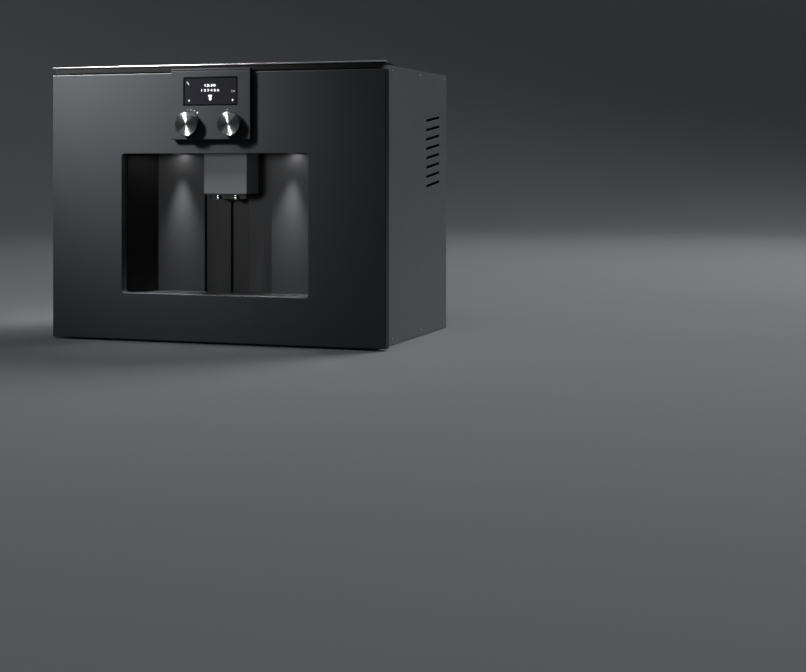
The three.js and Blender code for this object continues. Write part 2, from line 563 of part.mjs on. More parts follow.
/** Hinges: a bracket on the casing carries an eye, and a leaf on the door carries the pin. */
function hinges() {
  const [eye, pinR, play] = [5, 2.6, 0.4];
  const [casingX, rearY] = [-277, -2.1];
  for (const [name, z] of HINGES) {
    const arm = new THREE.Shape();
    arm.absarc(HINGE_X, HINGE_Y, eye, Math.PI * 0.75, Math.PI * 1.75);
    arm.lineTo(casingX, -3.5);
    arm.lineTo(casingX, rearY);
    arm.lineTo(casingX - 4, rearY);
    arm.closePath();
    const about = (r, low, high) => turned([[0, low], [r, low], [r, high], [0, high]], HINGE_X, HINGE_Y, 16);
    const foot = box(casingX - 4, casingX, -3.5, rearY, z - 14, z + 19);
    piece(`hinge_bracket_${name}`, cut(join(slab(arm, IN_PLAN, z, z + 5), foot),
      about(pinR + play, z - 2, z + 8)), STEEL);
    const leaf = slab(outline([-293, -16.5], [-252, -16.5], [-252, -9.4], [-293, -9.4]), IN_PLAN,
      z + 5.4, z + 8.4);
    piece(`hinge_leaf_${name}`, join(leaf, about(pinR, z - 1, z + 7)), STEEL);
  }
  piece('catch_magnet', box(278, 288, -4.4, rearY, 215, 255), BLACK);
}

// ---------------------------------------------------------------- control module
/** Housing: a block in front of the door, a neck through it, and a sunk field for the display. */
function moduleHousing() {
  const back = DOOR_FRONT - GAP;
  const half = MODULE_W / 2;
  const block = slab(roundRect(-half, MODULE_Z0, half, MODULE_Z1, 1.5), FROM_FRONT, MODULE_FRONT, back);
  const field = (inset, y0, y1) => slab(roundRect(-DISPLAY_W / 2 + inset, DISPLAY_Z0 + inset,
    DISPLAY_W / 2 - inset, DISPLAY_Z1 - inset, 1), FROM_FRONT, y0, y1);
  const seam = MODULE_Z1 - MODULE_CAP;
  const joint = box(-half - 1, half + 1, MODULE_FRONT - 1, MODULE_FRONT + 1, seam - MODULE_JOINT, seam);
  const well = (side) => turnedFront([[0, 20], [5, 20], [5, 40], [0, 40]], side * KNOB_X, KNOB_Z, 24);
  const neck = box(-NECK_HALF, NECK_HALF, back - 1, -16, NECK_Z0, NECK_Z1);
  const hollow = box(3 - NECK_HALF, NECK_HALF - 3, -28, -14, NECK_Z0 + 3, NECK_Z1 - 3);
  const cavity = box(10 - half, half - 10, -28.5, -24, 339, 381);
  piece('module_housing', cut(join(block, neck), field(0, MODULE_FRONT - 9, MODULE_FRONT + 2.5), joint,
    ...SIDES.map(([, side]) => well(side)), hollow, cavity), ANTHRACITE);
  piece('display_window', field(GAP, MODULE_FRONT + 0.6, MODULE_FRONT + 2.2), GLASS);
  piece('control_board', box(4 - NECK_HALF, NECK_HALF - 4, -19, -17.2, NECK_Z0 + 5, NECK_Z1 - 5), BOARD);
}

/** Left knob on its own shaft. The right knob turns on a shaft that can be pressed. */
function knobs() {
  const [shaftR, shaftEnd, core] = [4, 23, 4 - KNOB_FRONT - 8];
  const chamfer = 0.9;
  const shape = (boreR) => [[boreR, -KNOB_REAR], [KNOB_R - 1.2, -KNOB_REAR], [KNOB_R, 1.2 - KNOB_REAR],
    [KNOB_R, -KNOB_FRONT - chamfer], [KNOB_R - chamfer, -KNOB_FRONT], [1.6, -KNOB_FRONT - 0.35],
    [0, -KNOB_FRONT - 0.9]];
  const [ownShaft, bored] = [[[0, shaftEnd], [shaftR, shaftEnd]], shaftR + 0.4];
  piece('left_knob', turnedFront([...ownShaft, ...shape(shaftR)], -KNOB_X, KNOB_Z), STEEL);
  piece('right_knob', turnedFront([[0, core], [bored, core], ...shape(bored)], KNOB_X, KNOB_Z), STEEL);
  piece('selector_shaft', turnedFront([[0, shaftEnd], [shaftR, shaftEnd], [shaftR, core - GAP],
    [0, core - GAP]], KNOB_X, KNOB_Z, 24), STEEL);
}

basePan();
sidePanels();
topCover();
rearPanel();
frontFrame();
dividers();
nicheWalls();
centreStrip();
nicheCeiling();
outletHousing();
nozzles();
dripTray();
dripGrate();
waterTank();
beanContainer();
grinder();
brewUnit();
works();
doorPanel();
doorLiner();
hinges();
moduleHousing();
knobs();

export default machine;
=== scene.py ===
import json
import math

import bmesh
import bpy
import numpy as np
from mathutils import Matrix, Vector

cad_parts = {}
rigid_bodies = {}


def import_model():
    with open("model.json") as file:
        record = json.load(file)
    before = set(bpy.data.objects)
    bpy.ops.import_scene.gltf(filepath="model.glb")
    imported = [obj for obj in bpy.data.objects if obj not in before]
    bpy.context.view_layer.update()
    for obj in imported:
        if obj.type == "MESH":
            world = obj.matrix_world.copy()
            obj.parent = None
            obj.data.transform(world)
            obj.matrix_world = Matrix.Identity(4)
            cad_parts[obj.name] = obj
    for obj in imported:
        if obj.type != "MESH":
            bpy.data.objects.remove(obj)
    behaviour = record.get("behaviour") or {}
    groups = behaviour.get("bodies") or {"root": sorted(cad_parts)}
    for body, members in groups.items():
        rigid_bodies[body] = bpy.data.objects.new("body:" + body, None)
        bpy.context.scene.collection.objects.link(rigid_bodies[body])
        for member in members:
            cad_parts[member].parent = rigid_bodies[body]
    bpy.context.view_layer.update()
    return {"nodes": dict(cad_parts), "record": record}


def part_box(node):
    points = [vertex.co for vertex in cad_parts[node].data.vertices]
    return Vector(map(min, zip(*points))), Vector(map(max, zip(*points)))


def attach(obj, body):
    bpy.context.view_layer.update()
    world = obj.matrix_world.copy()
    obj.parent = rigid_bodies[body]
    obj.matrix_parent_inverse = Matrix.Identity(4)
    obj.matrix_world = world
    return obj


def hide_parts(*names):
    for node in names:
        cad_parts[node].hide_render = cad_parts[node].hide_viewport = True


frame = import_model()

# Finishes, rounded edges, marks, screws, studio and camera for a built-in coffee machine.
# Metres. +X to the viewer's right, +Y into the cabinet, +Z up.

MM = 0.001
QUARTER = math.pi / 2

# ------------------------------------------------------------------ sizes of the new surfaces, colours
CORNER_STEPS = 6            # facets on a round corner of an outline
EDGE_STEPS = 4              # facets on a rounded edge
SIGN_STEPS = 24             # facets on a round sign
FLAT_ANGLE = math.radians(0.4)        # faces that turn by less are one face
SHARP_ANGLE = math.radians(32)        # edges that turn by more are rounded
GAP = 0.3 * MM              # gap between pieces that meet
POLE = 0.02 * MM            # radius at which a turned surface closes
PROUD = 0.06 * MM           # height of printed marks

SKIN = 1.5 * MM             # door sheet
DOOR_EDGE = 1.4 * MM        # rounding of the door's outer front edge
PIECE_CORNER = 1.2 * MM     # corner radius of the door's and the module's outlines
CUT_LOW = (-165 * MM, 79.5 * MM)      # lower left corner (x, z) of the niche cut-out
CUT_HIGH = (165 * MM, 307.5 * MM)     # its upper right corner
CUT_CORNER = 5 * MM         # corner radius of the cut-out
CUT_EDGE = 1.2 * MM         # rounding of its edge
NOTCH_SIDE = -262 * MM      # x where the notches for the hinge leaves end
NOTCH_FRONT = -17 * MM      # y where they begin

MODULE_EDGE = 1.0 * MM      # rounding of the module's front edges
MODULE_CAP = 3.0 * MM       # height of the module's top strip
MODULE_JOINT = 0.5 * MM     # fine joint below that strip
NECK_LOW = (-30 * MM, 343 * MM)       # lower left corner (x, z) of the neck behind the module
NECK_HIGH = (30 * MM, 425 * MM)       # its upper right corner
NECK_PLAY = 1 * MM          # room round the neck in the door
SHAFT_HOLE = 5 * MM         # radius of the holes for the knobs' shafts
DISPLAY_CORNER = 0.8 * MM   # corner radius of the display glass
DISPLAY_EDGE = 0.25 * MM    # rounding of the glass, and of the field that holds it
DISPLAY_FRAME = 2.2 * MM    # black border of the glass

KNOB_GAP = 1.4 * MM         # room between a knob and the module
KNOB_SHAFT = 4 * MM         # radius of a knob's shaft
KNOB_RIM = 1.2 * MM         # width of the chamfered rim round a knob's faces
DISH = 0.25 * MM            # depth of its dished front face
DIAL_RING = 23.4 * MM       # radius of the marks round the knobs
SPOUT_NECK = 2.9 * MM       # radius of a spout's upper end
SPOUT_BORE = 1.7 * MM       # radius of its bore
SPOUT_DEPTH = 8 * MM        # depth of its bore
HEAD_WALL = 2.5 * MM        # wall of the dispensing head
SCREW_RADIUS = 3.0 * MM     # head of a casing screw
SMALL_SCREW = 2.6 * MM      # head of a screw behind the door
COOL = (0.93, 0.97, 1.0)    # colour of the overhead, rear and inner lights
SIGNS = (0.92, 0.95, 1.0)   # colour of the display's signs and the lit mark


# ------------------------------------------------------------------ surfaces from numpy
def round_rectangle(low, high, radius):
    """Outline of a rectangle with round corners, anticlockwise. A corner is a quarter circle about the
    point that lies one radius inside both sides: centre + radius (cos a, sin a)."""
    quarter = np.linspace(0, QUARTER, CORNER_STEPS + 1)
    angle = np.concatenate([quarter + k * QUARTER for k in range(4)])
    side = np.repeat([[1, 1], [-1, 1], [-1, -1], [1, -1]], CORNER_STEPS + 1, axis=0)
    middle = (np.array(low) + high) / 2
    reach = (np.array(high) - low) / 2 - radius
    return middle + side * reach + radius * np.column_stack([np.cos(angle), np.sin(angle)])


def from_front(outline, y):
    """An outline of (x, z) points at depth y."""
    return np.column_stack([outline[:, 0], np.full(len(outline), y), outline[:, 1]])


def in_plan(outline, z):
    """An outline of (x, y) points at height z."""
    return np.column_stack([outline[:, 0], outline[:, 1], np.full(len(outline), z)])


def grown(low, high, radius, amount):
    """The round rectangle with every side moved outwards by amount, its corners growing with it. A corner
    radius stays above the least."""
    least = 0.05 * MM
    return round_rectangle(np.array(low) - amount, np.array(high) + amount, max(radius + amount, least))


def rounding(radius):
    """Pairs (inset, drop) over a rounded edge, from the side face to the front face:
    inset = r (1 - cos t), drop = r (1 - sin t) for t from 0 to a quarter turn."""
    t = np.linspace(0, QUARTER, EDGE_STEPS + 1)
    return list(zip(radius * (1 - np.cos(t)), radius * (1 - np.sin(t))))


def ring_quads(rows, columns, closed):
    """Corner numbers of the quads between each row of points and the next, every row a closed ring."""
    r, c = np.meshgrid(np.arange(rows if closed else rows - 1), np.arange(columns), indexing="ij")
    after, beside = (r + 1) % rows, (c + 1) % columns
    return np.stack([r * columns + c, r * columns + beside, after * columns + beside,
                     after * columns + c], -1).reshape(-1, 4)


def loft(rings, closed=False):
    """A skin over rings of equally many points: point k of a ring joins point k of the next. The first
    and last ring are filled flat, or joined to each other when closed."""
    points = np.concatenate(rings)
    columns = len(rings[0])
    faces = ring_quads(len(rings), columns, closed).tolist()
    if not closed:
        faces += [list(range(columns)), list(range(len(points) - columns, len(points)))]
    return points, faces


def spokes(along, angle):
    """Unit vectors round an axis: at angle a, cos a across it one way + sin a across it the other way."""
    across, other = np.roll(np.array(along, float), 1), np.roll(np.array(along, float), 2)
    return np.cos(angle)[:, None] * across + np.sin(angle)[:, None] * other


def turned(profile, centre, along, steps):
    """A surface of revolution: at angle a about the axis, a profile point (radius, height) lies at
    centre + radius times the spoke at a + height along the axis."""
    spoke = spokes(along, np.linspace(0, 2 * math.pi, steps, endpoint=False))
    return loft([np.array(centre) + radius * spoke + height * np.array(along, float)
                 for radius, height in profile])


def bar(section, x0, x1):
    """A closed (y, z) section carried along x."""
    return loft([np.column_stack([np.full(len(section), x), section]) for x in (x0, x1)])


def together(*parts):
    """Several (points, faces) in one."""
    points, faces, start = [], [], 0
    for part_points, part_faces in parts:
        points.append(part_points)
        faces += [[start + corner for corner in face] for face in part_faces]
        start += len(part_points)
    return np.concatenate(points), faces


def tidy_mesh(mesh, flat_angle=0.0):
    """Merges doubles, joins flat neighbours where asked, and turns every face outwards."""
    work = bmesh.new()
    work.from_mesh(mesh)
    bmesh.ops.remove_doubles(work, verts=work.verts, dist=0.002 * MM)
    if flat_angle:
        bmesh.ops.dissolve_limit(work, angle_limit=flat_angle, verts=work.verts, edges=work.edges)
    bmesh.ops.recalc_face_normals(work, faces=work.faces)
    work.to_mesh(mesh)
    work.free()


def add(name, data):
    """A new object in the scene for a mesh, a curve, a light or a camera."""
    held = bpy.data.objects.new(name, data)
    bpy.context.scene.collection.objects.link(held)
    return held


def solid(name, shape):
    """An object from (points, faces), with its doubles merged and its faces turned outwards."""
    points, faces = shape
    mesh = bpy.data.meshes.new(name)
    mesh.from_pydata(points.tolist(), [], faces)
    tidy_mesh(mesh)
    return add(name, mesh)


def settle(piece):
    """Puts the result of a piece's modifiers into its mesh."""
    bpy.context.view_layer.update()
    shape = bpy.data.meshes.new_from_object(piece.evaluated_get(bpy.context.evaluated_depsgraph_get()))
    piece.modifiers.clear()
    piece.data = shape


def smooth_by_area(piece):
    """Smooth shading in which large flat faces stay flat and small roundings carry the turn."""
    piece.data.polygons.foreach_set("use_smooth", [True] * len(piece.data.polygons))
    weighted = piece.modifiers.new("even_shading", "WEIGHTED_NORMAL")
    weighted.weight = 100
    weighted.keep_sharp = True


def new_piece(name, shape, material, body, stands_for=(), cutters=()):
    """A finished piece from (points, faces): carved by cutters, shaded, dressed, and set to ride."""
    piece = solid(name, shape)
    for cutter in cutters:
        knife = solid("cutter", cutter)
        cut = piece.modifiers.new("cut", "BOOLEAN")
        cut.operation, cut.object, cut.solver = "DIFFERENCE", knife, "EXACT"
        settle(piece)
        bpy.data.objects.remove(knife)
    piece.data.name = name
    piece.data.materials.clear()
    piece.data.materials.append(material)
    smooth_by_area(piece)
    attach(piece, body)
    if stands_for:
        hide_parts(*stands_for)


def block(low, high, radius, edge):
    """A round rectangle seen from the front, from depth to depth, with both face edges rounded."""
    (x0, y0, z0), (x1, y1, z1) = low, high
    outline = ((x0, z0), (x1, z1), radius)
    rings = [from_front(grown(*outline, -inset), y0 + drop) for inset, drop in reversed(rounding(edge))]
    rings += [from_front(grown(*outline, -inset), y1 - drop) for inset, drop in rounding(edge)]
    return loft(rings)


def plain_box(low, high):
    """A box with sharp edges, for cutting and for what stays hidden."""
    (x0, y0, z0), (x1, y1, z1) = low, high
    ring = np.array([[x0, z0], [x1, z0], [x1, z1], [x0, z1]])
    return loft([from_front(ring, y0), from_front(ring, y1)])


# ------------------------------------------------------------------ shader maths
class Value:
    """A shader socket that takes part in arithmetic: an expression on values adds its Math nodes."""

    def __init__(self, finish, socket):
        self.finish, self.socket = finish, socket

    def math(self, operation, *others):
        """The result of a Math node on this value."""
        return self.finish.node("ShaderNodeMath", {"operation": operation}, self, *others)[0]

    def __add__(self, other):
        return self.math("ADD", other)

    def __sub__(self, other):
        return self.math("SUBTRACT", other)

    def __rsub__(self, other):
        return self.finish.value(other).math("SUBTRACT", self)

    def __mul__(self, other):
        return self.math("MULTIPLY", other)

    __radd__ = __add__
    __rmul__ = __mul__

    def above(self, edge):
        """1 where the value lies over the edge, otherwise 0."""
        return self.math("GREATER_THAN", edge)

    def below(self, edge):
        """1 where the value lies under the edge, otherwise 0."""
        return self.math("LESS_THAN", edge)


class Made:
    """A node that was added: made[0] is its first output, made["Fac"] the one of that name."""

    def __init__(self, finish, node):
        self.finish, self.raw = finish, node

    def __getitem__(self, which):
        return Value(self.finish, self.raw.outputs[which])


class Finish:
    """A material under construction, on a Principled shader."""

    def __init__(self, name, **constants):
        self.material = bpy.data.materials.new(name)
        self.material.use_nodes = True
        self.tree = self.material.node_tree
        self.shader = self.tree.nodes["Principled BSDF"]
        self.place = self.node("ShaderNodeTexCoord")["Object"]
        self.set(**constants)

    def node(self, kind, settings=None, *by_order, **by_name):
        """Adds a node: its settings first, then the values or links of its sockets. A name's spaces are
        written as underscores."""
        made = self.tree.nodes.new(kind)
        for key, setting in (settings or {}).items():
            setattr(made, key, setting)
        sockets = list(enumerate(by_order)) + [(k.replace("_", " "), v) for k, v in by_name.items()]
        for which, wanted in sockets:
            self.feed(made.inputs[which], wanted)
        return Made(self, made)

    def feed(self, socket, wanted):
        """Links a value to a socket, or sets the socket to a constant."""
        if isinstance(wanted, Value):
            self.tree.links.new(wanted.socket, socket)
        else:
            socket.default_value = wanted

    def value(self, number):
        """A constant as the first term of an expression."""
        return self.node("ShaderNodeMath", {"operation": "ADD"}, number, 0.0)[0]

    def set(self, **sockets):
        """Constants or values for the Principled shader's sockets."""
        for name, wanted in sockets.items():
            self.feed(self.shader.inputs[name.replace("_", " ")], wanted)

    def axes(self):
        """The x, y and z of a point in the piece's own frame."""
        split = self.node("ShaderNodeSeparateXYZ", None, self.place)
        return split[0], split[1], split[2]

    def noise(self, scale, detail=2.0, stretch=(1, 1, 1)):
        """Soft noise between 0 and 1 whose lumps are 1 / scale metres, drawn out by a low stretch."""
        where = self.node("ShaderNodeMapping", None, self.place, Scale=stretch)[0]
        return self.node("ShaderNodeTexNoise", None, where, Scale=scale, Detail=detail)["Fac"]

    def mix(self, share, first, second):
        """A colour between two, by share."""
        made = self.node("ShaderNodeMix", {"data_type": "RGBA"})
        for which, wanted in ((0, share), (6, first), (7, second)):
            self.feed(made.raw.inputs[which], wanted)
        return made[2]

    def bump(self, height, depth, strength):
        """Relief for the Normal socket: height between 0 and 1 times depth, in metres."""
        made = self.node("ShaderNodeBump", None, Strength=strength, Distance=depth, Height=height)
        self.set(Normal=made[0])


def grey(level, blue=0.0):
    """A neutral linear colour, cooled a little by blue."""
    return (level * (1 - 0.4 * blue), level, level * (1 + blue), 1.0)


# ------------------------------------------------------------------ finishes
def satin_metal(name, level, blue, metallic, roughness, cloud=0.08):
    """Satin lacquer over metal: fine flakes in the colour, faint clouds in the gloss, and the slight
    unevenness of a sprayed coat."""
    f = Finish(name, Metallic=metallic, Specular_IOR_Level=0.2)
    flake = f.noise(2600, 1.0)
    broad = f.noise(7, 3.0)
    f.set(Base_Color=f.mix(flake, grey(level * 0.86, blue), grey(level * 1.14, blue)))
    f.set(Roughness=roughness + cloud * (broad - 0.5) + 0.05 * (flake - 0.5))
    f.bump(f.noise(900, 2.0), 0.02 * MM, 0.35)
    return f.material


def grained_plastic(name, level, blue, roughness, specular=0.4):
    """Moulded plastic with an eroded grain: rounded cells of uneven height, duller in the valleys."""
    f = Finish(name, Specular_IOR_Level=specular)
    cells = f.node("ShaderNodeTexVoronoi", {"feature": "SMOOTH_F1"}, f.place, Scale=1500.0)["Distance"]
    speck = f.noise(700, 3.0)
    broad = f.noise(11, 2.0)
    f.set(Base_Color=f.mix(speck, grey(level * 0.85, blue), grey(level * 1.15, blue)))
    f.set(Roughness=roughness + 0.10 * (cells - 0.4) + 0.08 * (broad - 0.5))
    f.bump(0.6 * cells + 0.4 * speck, 0.05 * MM, 0.6)
    return f.material


def zinc_sheet():
    """Galvanised sheet: small flat crystals, each a little lighter or darker, under a light dulling and
    the faint streaks of rolling."""
    f = Finish("zinc_sheet", Metallic=0.6)
    crystal = f.node("ShaderNodeTexVoronoi", {"feature": "F1"}, f.place, Scale=260.0)["Color"]
    tone = f.node("ShaderNodeSeparateColor", None, crystal)[0]
    dull = f.noise(6, 3.0)
    streak = f.noise(220, 3.0, (1, 0.05, 1))
    share = 0.45 * tone + 0.3 * dull + 0.25 * streak
    f.set(Base_Color=f.mix(share, (0.27, 0.28, 0.29, 1), (0.37, 0.38, 0.39, 1)))
    f.set(Roughness=0.40 + 0.06 * tone + 0.08 * dull)
    f.bump(f.noise(500, 3.0), 0.015 * MM, 0.3)
    return f.material


def brushed(name, level, roughness, stretch, relief=0.02 * MM):
    """Steel brushed along the axis whose stretch is low: long fine scratches in colour, gloss, relief."""
    f = Finish(name, Metallic=1.0)
    scratch = f.noise(1400, 3.0, stretch)
    broad = f.noise(14, 2.0)
    f.set(Base_Color=f.mix(scratch, grey(level * 0.82, 0.01), grey(min(level * 1.12, 0.95), 0.01)))
    f.set(Roughness=roughness + 0.16 * (scratch - 0.5) + 0.05 * (broad - 0.5))
    f.bump(scratch, relief, 0.5)
    return f.material


def turned_steel(name, centre):
    """Face-turned steel about the axis along y at centre: over each fine groove the shading normal leans
    evenly from inwards to outwards, which draws every light out into a radial streak. The lean, the tone
    and the gloss waver with the radius, from one band of grooves to the next."""
    f = Finish(name, Metallic=1.0)
    from_axis = f.node("ShaderNodeVectorMath", {"operation": "SUBTRACT"}, f.place, centre)[0]
    flat = f.node("ShaderNodeVectorMath", {"operation": "MULTIPLY"}, from_axis, (1, 0, 1))[0]
    radius = f.node("ShaderNodeVectorMath", {"operation": "LENGTH"}, flat)["Value"]
    spoke = f.node("ShaderNodeVectorMath", {"operation": "NORMALIZE"}, flat)[0]
    level, grooves_per_metre, bands_per_metre = 0.34, 9000, 2500
    groove = (radius * grooves_per_metre).math("FRACT")
    uneven = f.node("ShaderNodeTexNoise", {"noise_dimensions": "1D"}, W=radius * bands_per_metre,
                    Scale=1.0, Detail=2.0)["Fac"]
    lean = (1.3 + 0.9 * uneven) * (groove - 0.5)
    out = f.node("ShaderNodeVectorTransform",
                 {"vector_type": "VECTOR", "convert_from": "OBJECT", "convert_to": "WORLD"}, spoke)[0]
    push = f.node("ShaderNodeVectorMath", {"operation": "SCALE"}, out, Scale=lean)[0]
    face = f.node("ShaderNodeNewGeometry")["Normal"]
    leaned = f.node("ShaderNodeVectorMath", {"operation": "ADD"}, face, push)[0]
    f.set(Normal=f.node("ShaderNodeVectorMath", {"operation": "NORMALIZE"}, leaned)[0])
    f.set(Base_Color=f.mix(uneven, grey(level * 0.8, 0.01), grey(level * 1.2, 0.01)))
    f.set(Roughness=0.14 + 0.08 * uneven)
    return f.material


def display_glass(low, high):
    """Dark glass over a screen: a black border, and inside it a screen that glows very faintly, in fine
    rows, as a sine of the height."""
    f = Finish("display_glass", Roughness=0.06, Specular_IOR_Level=0.35)
    x, _, z = f.axes()
    inside = (x.above(low[0] + DISPLAY_FRAME) * x.below(high[0] - DISPLAY_FRAME)
              * z.above(low[2] + DISPLAY_FRAME) * z.below(high[2] - DISPLAY_FRAME))
    radians_per_metre = 9000
    rows = (z * radians_per_metre).math("SINE") * 0.5 + 0.5
    glow = inside * (0.75 + 0.25 * rows)
    f.set(Base_Color=f.mix(inside, (0.002, 0.002, 0.0022, 1), (0.008, 0.008, 0.01, 1)))
    f.set(Emission_Color=f.mix(glow, (0, 0, 0, 1), (0.0085, 0.0085, 0.0108, 1)), Emission_Strength=1.0)
    return f.material


def lit(name, colour, strength):
    """A lit mark, or a printed one that glows faintly with painted light, a little uneven as through
    frosted plastic.
    """
    f = Finish(name, Roughness=0.4, Emission_Strength=strength)
    frost = f.noise(1200, 2.0)
    dim = tuple(0.85 * c for c in colour) + (1.0,)
    f.set(Base_Color=f.mix(frost, dim, tuple(colour) + (1.0,)))
    f.set(Emission_Color=f.mix(frost, dim, tuple(colour) + (1.0,)))
    return f.material


def lamp_lens(strength):
    """A frosted lens that is lit on its lower face, and dull where it goes up through the ceiling."""
    f = Finish("lamp_lens", Roughness=0.4, Emission_Strength=strength)
    height = f.axes()[2]
    lower_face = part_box("lamp_left")[0][2]
    face = height.below(lower_face + 0.5 * MM)
    frost = f.noise(1200, 2.0)
    f.set(Base_Color=f.mix(frost, (0.50, 0.50, 0.49, 1), (0.62, 0.62, 0.60, 1)))
    f.set(Emission_Color=f.mix(face * (0.85 + 0.15 * frost), (0, 0, 0, 1), (1.0, 0.98, 0.96, 1)))
    return f.material


def smoked_plastic():
    """Clear moulding with a smoke tint, its walls faintly wavy."""
    f = Finish("smoked_plastic", IOR=1.49, Transmission_Weight=0.92)
    haze = f.noise(35, 2.0)
    f.set(Base_Color=f.mix(haze, (0.56, 0.60, 0.64, 1), (0.66, 0.70, 0.74, 1)))
    f.set(Roughness=0.05 + 0.08 * haze)
    f.bump(f.noise(60, 1.0), 0.15 * MM, 0.3)
    return f.material


def circuit_board():
    """Green solder mask with fine tracks under it."""
    f = Finish("circuit_board", Roughness=0.35, Coat_Weight=0.4)
    tracks = f.node("ShaderNodeTexBrick", {"offset": 0.3}, f.place, (0.01, 0.10, 0.045, 1),
                    (0.015, 0.13, 0.06, 1), (0.03, 0.19, 0.09, 1), Scale=90.0, Mortar_Size=0.03)
    f.set(Base_Color=tracks["Color"])
    return f.material


def cast_alloy():
    """Cast aluminium: coarse skin with a warm grey cast."""
    f = Finish("cast_alloy", Metallic=0.85)
    lump = f.noise(420, 4.0)
    f.set(Base_Color=f.mix(lump, (0.34, 0.32, 0.30, 1), (0.52, 0.50, 0.47, 1)))
    f.set(Roughness=0.42 + 0.2 * lump)
    f.bump(lump, 0.12 * MM, 0.7)
    return f.material


FRONT = satin_metal("front_anthracite", 0.036, 0.10, 0.35, 0.38)
MODULE = satin_metal("module_anthracite", 0.029, 0.10, 0.35, 0.48)
# The head's anthracite is made about three times lighter than the door's: painted light that stands in for
# the light the head gets little of inside the niche.
HEAD = satin_metal("head_anthracite", 0.105, 0.08, 0.35, 0.48)
NICHE = satin_metal("niche_grey", 0.03, 0.06, 0.4, 0.42, cloud=0.04)
NICHE_BLACK = satin_metal("niche_black", 0.009, 0.05, 0.2, 0.50)
BLACK = grained_plastic("black_moulding", 0.010, 0.0, 0.50)
# The front frames are made darker and duller than the black mouldings: painted shade for the shadowed gaps
# round the door.
PAINTED_GAP_SHADE = grained_plastic("gap_black", 0.004, 0.0, 0.70, specular=0.12)
GREY = grained_plastic("grey_moulding", 0.105, 0.06, 0.55)
ZINC = zinc_sheet()
BRIGHT = brushed("bright_strip", 0.80, 0.24, (0.02, 1, 1))
STEEL = brushed("plain_steel", 0.55, 0.28, (1, 1, 0.04))
POLISHED = brushed("polished_steel", 0.85, 0.12, (1, 1, 0.1), 0.005 * MM)
GRATE = brushed("grate_steel", 0.34, 0.30, (0.03, 1, 1))
SMOKED = smoked_plastic()
BOARD = circuit_board()
CAST = cast_alloy()
LENS = lamp_lens(78.0)
SCREEN_WHITE = lit("screen_white", SIGNS, 1.0)
SCREEN_DIM = lit("screen_dim", SIGNS, 0.11)
SCREEN_BRIGHTER = lit("screen_arrow", SIGNS, 0.25)
# Printed marks glow faintly: painted light on print, which is no lamp.
PRINT_PAINTED_GLOW = lit("printed_grey", (0.45, 0.46, 0.48), 0.06)

BY_SLOT = {
    "casing_zinc": ZINC, "front_anthracite": FRONT, "niche_grey": NICHE, "niche_black": NICHE_BLACK,
    "black_plastic": BLACK, "grey_plastic": GREY, "bright_steel": STEEL, "grate_steel": GRATE,
    "smoked_plastic": SMOKED, "display_glass": BLACK, "lamp_lens": LENS, "circuit_board": BOARD,
    "boiler_aluminium": CAST,
}
SLOT_OF = {part["node"]: part["material_slot"] for part in frame["record"]["subparts"]}
BODY_OF = {node: body for body, nodes in frame["record"]["behaviour"]["bodies"].items() for node in nodes}


def dress_nodes():
    """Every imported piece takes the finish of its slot."""
    for name, node in frame["nodes"].items():
        for held in node.material_slots:
            held.material = BY_SLOT[SLOT_OF[name]]


def rounded(node, width, material=None):
    """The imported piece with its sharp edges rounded: its doubles merged, its flat triangles joined, and a
    bevel on each edge that turns by more than SHARP_ANGLE."""
    mesh = frame["nodes"][node].data.copy()
    mesh.name = node + "_finished"
    tidy_mesh(mesh, FLAT_ANGLE)
    piece = add(mesh.name, mesh)
    bevel = piece.modifiers.new("rounded_edges", "BEVEL")
    bevel.width, bevel.segments, bevel.limit_method = width, 2, "ANGLE"
    bevel.angle_limit, bevel.use_clamp_overlap = SHARP_ANGLE, True
    mesh.materials.clear()
    mesh.materials.append(material or BY_SLOT[SLOT_OF[node]])
    smooth_by_area(piece)
    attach(piece, BODY_OF[node])
    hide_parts(node)


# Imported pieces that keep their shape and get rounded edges, with the width of the rounding.
ROUNDED = {
    **dict.fromkeys(["nozzle_block", "niche_wall_left", "niche_wall_right", "niche_back_left",
                     "niche_back_right", "niche_ceiling", "outlet_carriage", "catch_magnet",
                     "hinge_bracket_lower", "hinge_bracket_upper", "hinge_leaf_lower",
                     "hinge_leaf_upper", "selector_shaft", "base_pan", "top_cover", "mains_inlet",
                     "front_frame_left", "front_frame_right", "front_frame_top",
                     "side_panel_left", "side_panel_right", "rear_panel"], 0.35 * MM),
    **dict.fromkeys(["drip_grate", "niche_centre_panel", "door_liner", "brew_unit_cover",
                     "fascia_left", "fascia_right", "tank_dock"], 0.5 * MM),
    **dict.fromkeys(["drip_tray", "grounds_container", "water_tank", "tank_lid", "bean_container",
                     "bean_lid", "brew_frame", "grinder_housing"], 0.8 * MM),
}


